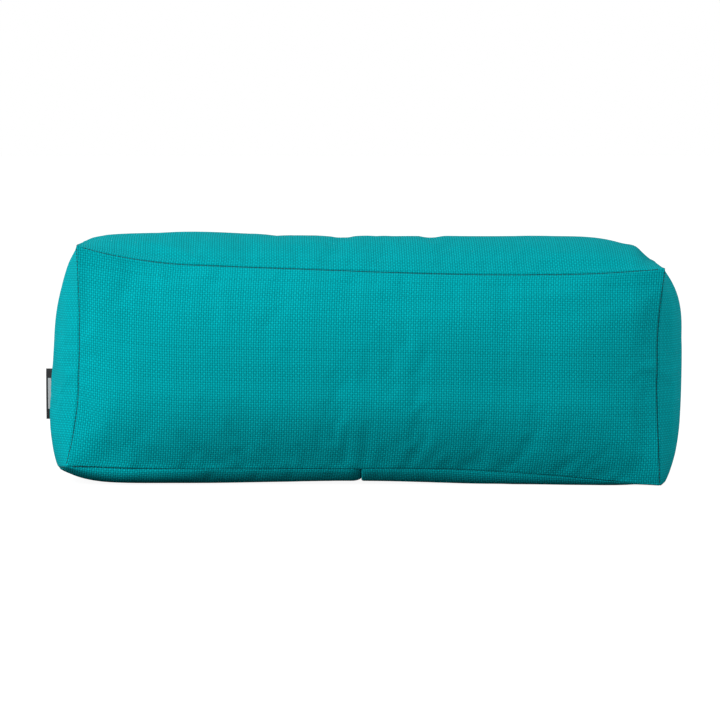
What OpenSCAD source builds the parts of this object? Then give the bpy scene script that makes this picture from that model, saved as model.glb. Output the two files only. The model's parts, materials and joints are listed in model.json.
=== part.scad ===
// Box-shaped bolster pillow: sewn cover, zipped underside, side label and bead-filled liner.
// Millimetres, +X along the length, front towards -Y, standing on Z = 0.

/* [Cover] */
// Length between the two end seams
cover_l = 590; // [500:10:700]
// Depth between the front and back seams
cover_d = 200; // [180:5:230]
// Height between the bottom and top seams
cover_h = 219; // [190:1:250]
// Thickness of the basket-weave cloth
cloth_t = 1; // [0.8:0.1:1.2]
// Cloth turned in at each seam, measured square to each panel
allowance = 7; // [5:0.5:8]
// How far the cover sits turned on its filling, right end down, in degrees
turn = 2; // [0:0.5:3]

/* [Filling] */
// How far each end swells beyond its seams
end_swell = 29; // [20:1:34]
// How far the front and the back swell beyond their seams
side_swell = 20; // [14:1:26]
// How far the top swells above its seams
top_swell = 17; // [12:1:24]
// How far the long seams are drawn in at their middles
long_bow = 12; // [6:1:14]
// How far the short seams are drawn in at their middles
short_bow = 5; // [2:1:7]

/* [Closure] */
// Width of the hem beside the zip
hem_w = 14; // [12:1:18]
// Half the gap between the two hems, which shows the zip
gap = 4.3; // [4.3:0.1:6]
// Length of the zip's pull tab
pull_l = 24; // [18:1:30]

/* [Side label] */
// Height of the side label
label_h = 54; // [40:1:60]
// Length of the side label beyond its seam
label_l = 46; // [40:1:60]
// Height of the side label's lower edge above the floor
label_z = 48; // [40:1:80]

/* [Hidden] */
$fn = 32;

TEAL = [0, 0.56, 0.58];
BLACK = [0.06, 0.06, 0.07];
WHITE = [0.93, 0.93, 0.92];
DARK_TEAL = [0, 0.36, 0.38];
STEEL = [0.62, 0.64, 0.66];

// The lowest seam corner sits just off the floor, and the rest follows from the turn
corner_clearance = 1.8;
mid_z = cover_h / 2 * cos(turn) + cover_l / 2 * sin(turn) + corner_clearance;
crest_z = mid_z + cover_h / 2 + top_swell;
// The label reaches past the swollen end, so the body moves over to centre the whole on X = 0
label_past_end = max(0, label_l - end_swell - short_bow - 1);
body_x = label_past_end / 2;

// Underside: how quickly it comes down to the floor from the side seams and the end seams
side_roll = 16;
end_roll = 60;

// Zip, from the floor up: bridge, pull, lower plate, coil and tape, upper plate
lift = 3.7;
tape_t = 0.5;
touch_gap = 0.05;
tape_z = lift + 2 * cloth_t + touch_gap;
tape_w = 10;
coil_r = 1.05;
coil_x = 1.6;
coil_z = tape_z + tape_t / 2;
run_gap = 0.3;
plate_t = 1;
slider_l = 10;
slider_w = 7.4;
lip_w = 0.75;
lower_z = coil_z - coil_r - run_gap - plate_t;
upper_z = coil_z + coil_r + run_gap;
// Along the closure, measured from each of the drawn-in front and back seams
mid_d = cover_d - 2 * long_bow;
closed_l = 20;
window_start = 26;
window_half = mid_d / 2 - window_start;
zip_half = mid_d / 2 - side_roll - 2.5;
slider_y = window_half - 8;
closure_x = body_x - (cover_h / 2 - long_bow) * sin(turn);
pivot_z = lower_z - 0.9;
bar_r = 0.6;
bridge_w = 1.6;
bridge_t = 0.8;
bridge_half = 3.6;
eye_half = 1.5;
eye_l = 4.2;
pull_half = 3.6;

// Liner and filling, drawn in from the cover's seams but close behind its middles
liner_inset = 12;
liner_gap = 2;
liner_t = 0.5;
bead_gap = 0.3;

// Where the grids of the skins have their lines, as shares of each length
hem_share = hem_w / cover_l;
window_share = window_start / mid_d;
closed_share = closed_l / mid_d;
roll_share = side_roll / mid_d;
X_LEFT = [0, 0.015, 0.045, 0.1, 0.2, 0.3, 0.4, 0.5 - hem_share, 0.5];
X_STEPS = concat(X_LEFT, mirrored(X_LEFT));
Y_LEFT = [0, 0.03, roll_share, closed_share, window_share, 0.3, 0.5];
Y_STEPS = concat(Y_LEFT, mirrored(Y_LEFT));
Z_STEPS = [0, 0.04, 0.12, 0.25, 0.4, 0.55, 0.7, 0.84, 0.95, 1];
LINER_X = [0, 0.045, 0.2, 0.4, 0.5 - hem_share, 0.5 + hem_share, 0.6, 0.8, 0.955, 1];
LINER_STEPS = [0, 0.06, 0.25, 0.5, 0.75, 0.94, 1];

function backwards(steps) = [for (i = [len(steps) - 1:-1:0]) steps[i]];
function mirrored(steps) = [for (i = [len(steps) - 2:-1:0]) 1 - steps[i]];
function mix(a, b, t) = a + (b - a) * t;
function arch(t, power) = pow(max(0, sin(180 * t)), power);
function bow(t) = arch(t, 0.4);
// Quarter-round approach to the floor over the length r from either end of l
function landing(t, l, r) =
    let (s = min(1, t * l / r, (1 - t) * l / r))
    sqrt(max(0, 1 - (1 - s) * (1 - s)));

// Seams of the untilted cover, centred on the origin; inset draws a seam in along each axis
function seam_x(y_side, z_side, t, inset) = [
    mix(-1, 1, t) * (cover_l / 2 - inset.x),
    y_side * (cover_d / 2 - inset.y - long_bow * bow(t)),
    z_side * (cover_h / 2 - inset.z - long_bow * bow(t))
];
function seam_y(x_side, z_side, t, inset) = [
    x_side * (cover_l / 2 - inset.x - short_bow * bow(t)),
    mix(-1, 1, t) * (cover_d / 2 - inset.y),
    z_side * (cover_h / 2 - inset.z - short_bow * bow(t))
];
function seam_z(x_side, y_side, t, inset) = [
    x_side * (cover_l / 2 - inset.x - short_bow * bow(t)),
    y_side * (cover_d / 2 - inset.y - short_bow * bow(t)),
    mix(-1, 1, t) * (cover_h / 2 - inset.z)
];
// Skin stretched between four seams: two that run with s, two that run with t, four corners
function stretched(low, high, left, right, corners, s, t) =
    mix(low, high, t) + mix(left, right, s)
    - mix(mix(corners[0], corners[1], s), mix(corners[2], corners[3], s), t);

// From the untilted cover to its place on the floor
function placed(p) = [
    body_x + p.x * cos(turn) + p.z * sin(turn),
    p.y,
    mid_z - p.x * sin(turn) + p.z * cos(turn)
];

// Points of the swollen skins; swell is what the middle of the skin is drawn in by
function side_point(y_side, u, w, inset, swell) =
    let (flat = stretched(
        seam_x(y_side, -1, u, inset), seam_x(y_side, 1, u, inset),
        seam_z(-1, y_side, w, inset), seam_z(1, y_side, w, inset),
        [seam_x(y_side, -1, 0, inset), seam_x(y_side, -1, 1, inset),
         seam_x(y_side, 1, 0, inset), seam_x(y_side, 1, 1, inset)], u, w))
    let (reach = y_side * (cover_d / 2 + side_swell - swell))
    placed([flat.x, mix(flat.y, reach, arch(u, 0.3) * arch(w, 0.6)), flat.z]);
function end_point(x_side, v, w, inset, swell) =
    let (flat = stretched(
        seam_y(x_side, -1, v, inset), seam_y(x_side, 1, v, inset),
        seam_z(x_side, -1, w, inset), seam_z(x_side, 1, w, inset),
        [seam_y(x_side, -1, 0, inset), seam_y(x_side, -1, 1, inset),
         seam_y(x_side, 1, 0, inset), seam_y(x_side, 1, 1, inset)], v, w))
    let (reach = x_side * (cover_l / 2 + end_swell - swell))
    placed([mix(flat.x, reach, arch(v, 0.6) * arch(w, 0.6)), flat.y, flat.z]);
function level_skin(z_side, u, v, inset) = placed(stretched(
    seam_x(-1, z_side, u, inset), seam_x(1, z_side, u, inset),
    seam_y(-1, z_side, v, inset), seam_y(1, z_side, v, inset),
    [seam_x(-1, z_side, 0, inset), seam_x(-1, z_side, 1, inset),
     seam_x(1, z_side, 0, inset), seam_x(1, z_side, 1, inset)], u, v));
function top_point(u, v, inset, swell) =
    let (flat = level_skin(1, u, v, inset))
    [flat.x, flat.y, mix(flat.z, crest_z - swell, arch(u, 0.25) * arch(v, 0.6))];
// The underside lies on the floor except along the closure, which stays lifted
function beside_zip(x) = 1 - min(1, max(0, (abs(x - closure_x) - hem_w) / (0.1 * cover_l - hem_w)));
function under_point(u, v, inset, swell, rise) =
    let (flat = level_skin(-1, u, v, inset))
    let (down = landing(u, cover_l, end_roll) * landing(v, mid_d, side_roll))
    [flat.x, flat.y, mix(flat.z, rise * beside_zip(flat.x) + swell, down)];

// A sheet's grid lines: a turned-in line before the first seam and after the last
function with_allowance(steps) = concat([[0, true]], [for (s = steps) [s, false]], [[1, true]]);
cloth_slant = cloth_t / sqrt(2);
// Insets of a panel's cloth, for a panel whose face looks along the given axis
function axis_inset(axis, through, along) = [for (i = [0:2]) i == axis ? through : along];
function outer_inset(turned) = turned ? [allowance, allowance, allowance] : [0, 0, 0];
function inner_inset(axis, turned) = turned
    ? axis_inset(axis, allowance - cloth_slant, allowance + cloth_slant)
    : axis_inset(axis, cloth_t, cloth_t * (1 + sqrt(2)));

function flatten(rows) = [for (row = rows) for (p = row) p];
// Both triangles of a four-cornered patch, cut along its shorter diagonal
function patch(points, a, b, c, d) =
    norm(points[a] - points[c]) < norm(points[b] - points[d])
        ? [[a, b, c], [a, c, d]]
        : [[b, c, d], [b, d, a]];
function turned_over(faces, over) = over ? [for (f = faces) [f[2], f[1], f[0]]] : faces;

// Cloth between an outer and an inner grid of the same size
module cloth(outer, inner, over) {
    rows = len(outer);
    cols = len(outer[0]);
    under = rows * cols;
    points = concat(flatten(outer), flatten(inner));
    skins = [for (r = [0:rows - 2]) for (c = [0:cols - 2])
        let (a = r * cols + c, b = a + 1, d = a + cols, e = d + 1)
        each concat(patch(points, a, d, e, b),
            patch(points, under + a, under + b, under + e, under + d))];
    low_high = [for (c = [0:cols - 2]) let (a = c, b = (rows - 1) * cols + c)
        each concat(patch(points, a, a + 1, under + a + 1, under + a),
            patch(points, b + 1, b, under + b, under + b + 1))];
    left_right = [for (r = [0:rows - 2]) let (a = r * cols, b = a + cols - 1)
        each concat(patch(points, a + cols, a, under + a, under + a + cols),
            patch(points, b, b + cols, under + b + cols, under + b))];
    polyhedron(points, turned_over(concat(skins, low_high, left_right), over), convexity = 6);
}

module side_panel(y_side) {
    us = with_allowance(X_STEPS);
    ws = with_allowance(Z_STEPS);
    cloth(
        [for (w = ws) [for (u = us) side_point(y_side, u[0], w[0], outer_inset(u[1] || w[1]), 0)]],
        [for (w = ws) [for (u = us)
            side_point(y_side, u[0], w[0], inner_inset(1, u[1] || w[1]), cloth_t)]],
        y_side > 0);
}

module end_panel(x_side) {
    vs = with_allowance(Y_STEPS);
    ws = with_allowance(Z_STEPS);
    cloth(
        [for (w = ws) [for (v = vs) end_point(x_side, v[0], w[0], outer_inset(v[1] || w[1]), 0)]],
        [for (w = ws) [for (v = vs)
            end_point(x_side, v[0], w[0], inner_inset(0, v[1] || w[1]), cloth_t)]],
        x_side < 0);
}

module front_panel() {
    color(TEAL) side_panel(-1);
}

module back_panel() {
    color(TEAL) side_panel(1);
}

module left_end_panel() {
    color(TEAL) end_panel(-1);
}

module right_end_panel() {
    color(TEAL) end_panel(1);
}

module top_panel() {
    us = with_allowance(X_STEPS);
    vs = with_allowance(Y_STEPS);
    color(TEAL) cloth(
        [for (v = vs) [for (u = us) top_point(u[0], v[0], outer_inset(u[1] || v[1]), 0)]],
        [for (v = vs) [for (u = us) top_point(u[0], v[0], inner_inset(2, u[1] || v[1]), cloth_t)]],
        false);
}

// Half the gap between the hems at v: open along the zip, shut at both ends of the closure
function half_gap(v) =
    gap * min(1, max(0, (min(v, 1 - v) - closed_share) / (window_share - closed_share)));
// The hem's folded edge follows the gap; the hem is two plies thick
function bottom_point(x_side, u, v, inset, plies_in) =
    let (p = under_point(u, v, inset, plies_in, lift))
    let (down = landing(v, mid_d, side_roll))
    let (edge = mix(p.x, closure_x + x_side * half_gap(v), down))
    let (hemmed = abs(u - 0.5) <= hem_share + 0.001)
    [u == 0.5 ? edge : p.x, p.y, p.z + (hemmed ? plies_in * down : 0)];

module bottom_panel(x_side) {
    half_steps = [for (u = X_LEFT) x_side < 0 ? u : 1 - u];
    us = concat([[half_steps[0], true]], [for (s = half_steps) [s, false]]);
    vs = with_allowance(Y_STEPS);
    cloth(
        [for (v = vs) [for (u = us)
            bottom_point(x_side, u[0], v[0], outer_inset(u[1] || v[1]), 0)]],
        [for (v = vs) [for (u = us)
            bottom_point(x_side, u[0], v[0], inner_inset(2, u[1] || v[1]), cloth_t)]],
        x_side < 0);
}

module bottom_panel_left() {
    color(TEAL) bottom_panel(-1);
}

module bottom_panel_right() {
    color(TEAL) bottom_panel(1);
}

// Thread binding on the raw edges of two panels, one four-sided section per station
overlock_h = 1.4;
raw_gap = 0.1;
module binding(sections, joined) {
    n = len(sections);
    points = flatten(sections);
    walls = [for (i = [0:joined ? n - 1 : n - 2]) for (k = [0:3])
        let (a = 4 * i, b = 4 * ((i + 1) % n), m = (k + 1) % 4)
        each patch(points, a + k, a + m, b + m, b + k)];
    ends = joined ? [] : concat(patch(points, 3, 2, 1, 0),
        patch(points, 4 * n - 4, 4 * n - 3, 4 * n - 2, 4 * n - 1));
    polyhedron(points, concat(walls, ends), convexity = 6);
}
// The section's corners: how far in along the panel's own axis, and how far in across it
function binding_corners() =
    let (start = allowance + raw_gap)
    let (stop = start + overlock_h)
    [[start - cloth_slant, start + cloth_slant], [start + cloth_slant, start - cloth_slant],
     [stop + cloth_slant, stop - cloth_slant], [stop - cloth_slant, stop + cloth_slant]];

// All the way round the front or the back panel
module ring_overlock(y_side) {
    low = [for (u = X_STEPS) [u, 0]];
    right = [for (w = Z_STEPS) if (w > 0) [1, w]];
    high = [for (u = backwards(X_STEPS)) if (u < 1) [u, 1]];
    left = [for (w = backwards(Z_STEPS)) if (w > 0 && w < 1) [0, w]];
    stations = concat(low, right, high, left);
    corners = binding_corners();
    order = y_side < 0 ? [0, 1, 2, 3] : [3, 2, 1, 0];
    binding([for (s = stations) [for (k = order)
        side_point(y_side, s[0], s[1], [corners[k][1], corners[k][0], corners[k][1]], 0)]], true);
}

module front_seam_overlock() {
    color(DARK_TEAL) ring_overlock(-1);
}

module back_seam_overlock() {
    color(DARK_TEAL) ring_overlock(1);
}

// The four short seams that run front to back, stopping clear of the rings
module end_seam_overlock() {
    corners = binding_corners();
    steps = [for (v = Y_STEPS) if (v > 0.05 && v < 0.95) v];
    color(DARK_TEAL)
    for (x_side = [-1, 1]) for (z_side = [-1, 1]) {
        order = x_side * z_side > 0 ? [3, 2, 1, 0] : [0, 1, 2, 3];
        binding([for (v = steps) [for (k = order)
            placed(seam_y(x_side, z_side, v, [corners[k][0], allowance, corners[k][1]]))
        ]], false);
    }
}

module zip_tape(x_side) {
    start = coil_x + coil_r * 0.9;
    translate([closure_x + (x_side < 0 ? -start - tape_w : start), -zip_half, tape_z])
    cube([tape_w, 2 * zip_half, tape_t]);
}

module zip_tape_left() {
    color(DARK_TEAL) difference() {
        zip_tape(-1);
        zip_coil_rod(-1);
    }
}

module zip_tape_right() {
    color(DARK_TEAL) difference() {
        zip_tape(1);
        zip_coil_rod(1);
    }
}

coil_half = window_half - 2.5;
module zip_coil_rod(x_side) {
    translate([closure_x + x_side * coil_x, coil_half, coil_z])
    rotate([90, 0, 0])
    cylinder(r = coil_r, h = 2 * coil_half);
}

module zip_coil_left() {
    color(BLACK) zip_coil_rod(-1);
}

module zip_coil_right() {
    color(BLACK) zip_coil_rod(1);
}

// Stops just past each end of the coil
stop_l = 2.2;
stop_h = 2.4;
stop_half = 0.9;
module zip_top_stops() {
    color(STEEL) for (x_side = [-1, 1])
        translate([closure_x + x_side * coil_x - stop_half, coil_half + touch_gap, coil_z - stop_h / 2])
        cube([2 * stop_half, stop_l, stop_h]);
}

module zip_bottom_stop() {
    color(STEEL)
    translate([closure_x - coil_x - stop_half, -coil_half - touch_gap - stop_l, coil_z - stop_h / 2])
    cube([2 * (coil_x + stop_half), stop_l, stop_h]);
}

// Two rows of lockstitch on each hem, just under the cloth
stitch_r = 0.3;
stitch_l = 3;
stitch_pitch = 4.2;
STITCH_ROWS = [gap + 2.4, gap + 7];
module zip_stitching() {
    count = floor(window_half / stitch_pitch);
    color(DARK_TEAL)
    for (x_side = [-1, 1]) for (row = STITCH_ROWS) for (i = [-count:count - 1])
        translate([closure_x + x_side * row, (i + 0.5) * stitch_pitch + stitch_l / 2,
            lift - stitch_r - 0.02])
        rotate([90, 0, 0])
        cylinder(r = stitch_r, h = stitch_l);
}

// Two plates joined by a thin wedge between the coils, with lips outside them and a bridge below
module zip_slider() {
    lip_h = coil_z - tape_t / 2 - run_gap - (lower_z + plate_t);
    wedge_w = 0.5;
    wedge_l = 4;
    bridge_z = pivot_z - bar_r - run_gap - bridge_t;
    color(STEEL) translate([closure_x, slider_y, 0]) {
        for (z = [lower_z, upper_z])
            translate([-slider_w / 2, -slider_l / 2, z])
            cube([slider_w, slider_l, plate_t]);
        for (x_side = [-1, 1]) for (z = [lower_z + plate_t, upper_z - lip_h])
            translate([x_side < 0 ? -slider_w / 2 : slider_w / 2 - lip_w, -slider_l / 2, z])
            cube([lip_w, slider_l, lip_h]);
        translate([-wedge_w / 2, -slider_l / 2 + 1, lower_z + plate_t])
        cube([wedge_w, wedge_l, upper_z - lower_z - plate_t]);
        translate([-bridge_w / 2, 0, 0]) {
            for (y = [-bridge_half, bridge_half - bridge_t])
                translate([0, y, bridge_z])
                cube([bridge_w, bridge_t, lower_z - bridge_z]);
            translate([0, -bridge_half, bridge_z])
            cube([bridge_w, 2 * bridge_half, bridge_t]);
        }
    }
}

// Flat tab with an eye round the bridge and a grip hole near its free end
module zip_pull() {
    neck_l = 9;
    neck_half = eye_half + 1.2;
    grip_hole_r = 1.6;
    color(STEEL) translate([closure_x, slider_y, pivot_z]) {
        translate([-neck_half, 0, 0])
        rotate([0, 90, 0])
        cylinder(r = bar_r, h = 2 * neck_half);
        translate([0, 0, -bar_r])
        linear_extrude(2 * bar_r)
        difference() {
            union() {
                translate([-neck_half, -neck_l])
                square([2 * neck_half, neck_l]);
                translate([0, -pull_l + pull_half])
                circle(r = pull_half);
                translate([-pull_half, -pull_l + pull_half])
                square([2 * pull_half, pull_l - pull_half - neck_l + 2]);
            }
            translate([-eye_half, -eye_l])
            square([2 * eye_half, eye_l - bar_r + 0.1]);
            translate([-eye_half, -bar_r])
            square([2 * eye_half, 2 * bar_r]);
            translate([0, -pull_l + pull_half])
            circle(r = grip_hole_r);
        }
    }
}

// Folded woven label standing out of the rear left seam
label_t = 1;
label_angle = 6;
// Its stitch line stands just clear of the cloth at the seam's middle, outwards and backwards
label_out = 5.6;
label_back = 2.4;
label_x = body_x - cover_l / 2 + short_bow - label_out;
label_y = cover_d / 2 - short_bow + label_back;
module side_label() {
    color(BLACK) translate([label_x, label_y, label_z])
    rotate([0, 0, -label_angle])
    linear_extrude(label_h)
    hull() {
        circle(r = label_t / 2);
        translate([-label_l + label_t, 0])
        circle(r = label_t / 2);
    }
}

// One station of the liner's girth: up the front, back over the top, down the back and forward below
function girth(u, e, swell) =
    let (inset = [e, e, e])
    concat(
        [for (w = LINER_STEPS) if (w < 1) side_point(-1, u, w, inset, swell)],
        [for (v = LINER_STEPS) if (v < 1) top_point(u, v, inset, swell)],
        [for (w = LINER_STEPS) if (w < 1) side_point(1, u, 1 - w, inset, swell)],
        [for (v = LINER_STEPS) if (v < 1) under_point(u, 1 - v, inset, swell, liner_rise)]
    );
liner_rise = upper_z + plate_t + 0.6 - liner_gap;

module liner_sleeve() {
    outer = [for (u = LINER_X) girth(u, liner_inset, liner_gap)];
    inner = [for (u = LINER_X) girth(u, liner_inset + liner_t, liner_gap + liner_t)];
    rows = len(outer);
    cols = len(outer[0]);
    under = rows * cols;
    points = concat(flatten(outer), flatten(inner));
    skins = [for (r = [0:rows - 2]) for (c = [0:cols - 1])
        let (a = r * cols + c, b = r * cols + (c + 1) % cols, d = a + cols, e = b + cols)
        each concat(patch(points, a, b, e, d),
            patch(points, under + a, under + d, under + e, under + b))];
    rims = [for (c = [0:cols - 1])
        let (a = c, b = (c + 1) % cols, d = (rows - 1) * cols + a, e = (rows - 1) * cols + b)
        each concat(patch(points, b, a, under + a, under + b),
            patch(points, d, e, under + e, under + d))];
    color(WHITE) polyhedron(points, concat(skins, rims), convexity = 6);
}

// Rings drawn together over an end, from the sleeve's edge inwards, without the tip
END_SHARES = [1, 0.88, 0.6, 0.3];
function end_ring(x_side, share, e, swell) =
    let (at = [for (w = LINER_STEPS) if (w < 1) [0, w], for (v = LINER_STEPS) if (v < 1) [v, 1],
        for (w = LINER_STEPS) if (w < 1) [1, 1 - w], for (v = LINER_STEPS) if (v < 1) [1 - v, 0]])
    [for (p = at) end_point(x_side, mix(0.5, p[0], share), mix(0.5, p[1], share), [e, e, e], swell)];
function end_tip(x_side, e, swell) = end_point(x_side, 0.5, 0.5, [e, e, e], swell);

module liner_end(x_side) {
    e = liner_inset + liner_t;
    swell = liner_gap + liner_t;
    outer = [for (share = END_SHARES) end_ring(x_side, share, liner_inset, liner_gap)];
    inner = [for (share = END_SHARES) end_ring(x_side, share, e, swell)];
    rows = len(outer);
    cols = len(outer[0]);
    under = rows * cols;
    tip = 2 * under;
    points = concat(flatten(outer), flatten(inner),
        [end_tip(x_side, liner_inset, liner_gap), end_tip(x_side, e, swell)]);
    skins = [for (r = [0:rows - 2]) for (c = [0:cols - 1])
        let (a = r * cols + c, b = r * cols + (c + 1) % cols, d = a + cols, f = b + cols)
        each concat(patch(points, a, b, f, d),
            patch(points, under + a, under + d, under + f, under + b))];
    rim = [for (c = [0:cols - 1]) let (a = c, b = (c + 1) % cols)
        each patch(points, b, a, under + a, under + b)];
    tips = [for (c = [0:cols - 1]) let (a = (rows - 1) * cols + c, b = (rows - 1) * cols + (c + 1) % cols)
        each [[a, b, tip], [under + b, under + a, tip + 1]]];
    polyhedron(points, turned_over(concat(skins, rim, tips), x_side > 0), convexity = 6);
}

module liner_end_left() {
    color(WHITE) liner_end(-1);
}

module liner_end_right() {
    color(WHITE) liner_end(1);
}

// One closed skin: girths along the length, and the rings over each end
module bead_filling() {
    e = liner_inset + liner_t + bead_gap;
    swell = liner_gap + liner_t + bead_gap;
    rings = concat(
        [for (i = [len(END_SHARES) - 1:-1:1]) end_ring(-1, END_SHARES[i], e, swell)],
        [for (u = LINER_X) girth(u, e, swell)],
        [for (i = [1:len(END_SHARES) - 1]) end_ring(1, END_SHARES[i], e, swell)]
    );
    rows = len(rings);
    cols = len(rings[0]);
    tip = rows * cols;
    points = concat(flatten(rings), [end_tip(-1, e, swell), end_tip(1, e, swell)]);
    skins = [for (r = [0:rows - 2]) for (c = [0:cols - 1])
        let (a = r * cols + c, b = r * cols + (c + 1) % cols)
        each patch(points, a, b, b + cols, a + cols)];
    tips = [for (c = [0:cols - 1]) let (a = c, b = (c + 1) % cols, d = (rows - 1) * cols)
        each [[b, a, tip], [d + a, d + b, tip + 1]]];
    color(WHITE) polyhedron(points, concat(skins, tips), convexity = 6);
}

front_panel();
back_panel();
top_panel();
left_end_panel();
right_end_panel();
bottom_panel_left();
bottom_panel_right();
front_seam_overlock();
back_seam_overlock();
end_seam_overlock();
zip_tape_left();
zip_tape_right();
zip_coil_left();
zip_coil_right();
zip_top_stops();
zip_bottom_stop();
zip_stitching();
zip_slider();
zip_pull();
side_label();
liner_sleeve();
liner_end_left();
liner_end_right();
bead_filling();
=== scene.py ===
import json
import math

import bpy
import numpy as np
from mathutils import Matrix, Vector


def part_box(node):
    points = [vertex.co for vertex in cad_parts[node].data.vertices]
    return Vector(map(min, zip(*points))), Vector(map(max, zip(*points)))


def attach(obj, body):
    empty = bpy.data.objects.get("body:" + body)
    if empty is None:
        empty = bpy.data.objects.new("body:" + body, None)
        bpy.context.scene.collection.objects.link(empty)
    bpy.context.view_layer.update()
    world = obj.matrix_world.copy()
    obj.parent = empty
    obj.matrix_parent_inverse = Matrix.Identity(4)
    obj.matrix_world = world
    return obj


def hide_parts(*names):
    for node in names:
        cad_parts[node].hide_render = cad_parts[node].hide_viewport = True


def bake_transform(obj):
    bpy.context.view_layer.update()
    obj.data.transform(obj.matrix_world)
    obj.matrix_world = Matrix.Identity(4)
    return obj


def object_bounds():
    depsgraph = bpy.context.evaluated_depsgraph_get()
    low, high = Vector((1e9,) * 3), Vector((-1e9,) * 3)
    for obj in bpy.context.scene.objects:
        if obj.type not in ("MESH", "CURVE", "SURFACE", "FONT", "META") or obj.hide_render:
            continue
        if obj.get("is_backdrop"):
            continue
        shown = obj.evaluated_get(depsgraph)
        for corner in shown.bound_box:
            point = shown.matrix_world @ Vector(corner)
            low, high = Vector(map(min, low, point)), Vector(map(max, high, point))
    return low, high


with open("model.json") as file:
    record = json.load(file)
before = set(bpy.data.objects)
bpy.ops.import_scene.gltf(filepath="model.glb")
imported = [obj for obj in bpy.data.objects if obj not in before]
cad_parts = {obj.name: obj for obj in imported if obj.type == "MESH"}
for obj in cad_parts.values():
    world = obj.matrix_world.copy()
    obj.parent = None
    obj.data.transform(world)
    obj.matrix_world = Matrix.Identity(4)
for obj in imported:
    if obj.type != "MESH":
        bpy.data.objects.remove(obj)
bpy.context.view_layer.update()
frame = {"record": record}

scene = bpy.context.scene


def in_scene(name, data):
    obj = bpy.data.objects.new(name, data)
    scene.collection.objects.link(obj)
    return obj


def mesh_object(name, points, faces):
    mesh = bpy.data.meshes.new(name)
    mesh.from_pydata(points, [], faces)
    mesh.update()
    return in_scene(name, mesh)


# Sizes of the sewn cover between its seams, as in the CAD source, in metres
SIZE = LENGTH, DEPTH, HEIGHT = 0.590, 0.200, 0.219
TURN = math.radians(2)
SIDE_SWELL, LEFT_SWELL, RIGHT_SWELL, TOP_SWELL = 0.020, 0.0256, 0.029, 0.017
CLOTH = 0.001
ALLOWANCE = 0.007
HEM = 0.014
# Centre of the cover's box between its seams, and the line of its closure
MIDDLE = Vector((
    (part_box("left_end_panel")[0].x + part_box("right_end_panel")[1].x) / 2,
    0.0,
    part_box("top_panel")[1].z - HEIGHT / 2 - TOP_SWELL,
))
CLOSURE_X = (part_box("zip_coil_left")[0].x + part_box("zip_coil_right")[1].x) / 2
# How far the closure is lifted off the floor, and the least gap under the rest of the cloth
LIFT = 0.0037
FLOOR_CLEARANCE = 0.0002
# Each panel of the box: the axes that s and t run along, the axis and side that it faces, and whether
# faces made from s and t look inwards and need turning over. Both bottom panels are cut from "under".
FACES = {"front_panel": (0, 2, 1, -1, False), "back_panel": (0, 2, 1, 1, True),
         "top_panel": (0, 1, 2, 1, False), "left_end_panel": (1, 2, 0, -1, True),
         "right_end_panel": (1, 2, 0, 1, False), "under": (0, 1, 2, -1, True)}
# Width and height of each flat panel, and whether its faces need turning over
FLAT = {name: (SIZE[along_s], SIZE[along_t], over) for name, (along_s, along_t, _, _, over) in FACES.items()}


# ---- shape of the filled cover
def mix(a, b, t):
    return a + (b - a) * t


def bow(t, peak, power):
    """From 0 at both ends to 1 at peak."""
    t = np.clip(t, 0, 1) ** (math.log(0.5) / math.log(peak))
    return np.clip(np.sin(np.pi * t), 0, None) ** power


def fullness(t, length, low, high):
    """How full a panel is at t: each side is (reach from its seam in metres, power)."""
    def rise(d, reach, power):
        return 1 - (1 - np.clip(d / reach, 0, 1)) ** power
    return rise(t * length, *low) * rise((1 - t) * length, *high)


def dome(name, s, t, s_ends, t_ends):
    """How full a whole panel is, by its fullness along s and along t."""
    width, height, _ = FLAT[name]
    return fullness(s, width, *s_ends)[None, :] * fullness(t, height, *t_ends)[:, None]


# How far each corner sits from a true box: (x, y, z side) -> offset
CORNERS = {(-1, -1, 1): (0.0025, 0, 0.0005), (1, -1, 1): (0.0008, 0, -0.0020),
           (-1, -1, -1): (-0.0025, 0, -0.0030), (1, -1, -1): (0.0045, 0, -0.0012),
           (-1, 1, 1): (0.0030, -0.002, 0.0005), (1, 1, 1): (-0.0020, 0, 0.0036),
           (-1, 1, -1): (0.0, 0, -0.005), (1, 1, -1): (0.0, 0, 0.0)}


def warped(p):
    """Moves the box's corners to where they really sit, and all between them in proportion."""
    share = np.clip(p / np.array(SIZE) + 0.5, 0, 1)
    moved = p.copy()
    for sides, offset in CORNERS.items():
        weight = np.ones(p.shape[:-1])
        for axis in range(3):
            weight = weight * (share[..., axis] if sides[axis] > 0 else 1 - share[..., axis])
        moved += weight[..., None] * np.array(offset)
    return moved


def placed(p):
    """From the cover's own box to where the turned pillow lies."""
    p = warped(p)
    c, s = math.cos(TURN), math.sin(TURN)
    return np.stack([MIDDLE.x + p[..., 0] * c + p[..., 2] * s, p[..., 1],
                     MIDDLE.z - p[..., 0] * s + p[..., 2] * c], -1)


def turned(v):
    """A direction of the cover's own box, as the pillow lies."""
    c, s = math.cos(TURN), math.sin(TURN)
    return np.array([v[0] * c + v[2] * s, v[1], -v[0] * s + v[2] * c])


def slack(length, low, high):
    """A seam that leaves its corners at once and is fully drawn in from those distances on."""
    return lambda t: fullness(t, length, (low, 2.1), (high, 2.4))


def hollow(peak, power):
    """A seam that leaves its corners slowly."""
    return lambda t: bow(t, peak, power)


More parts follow.
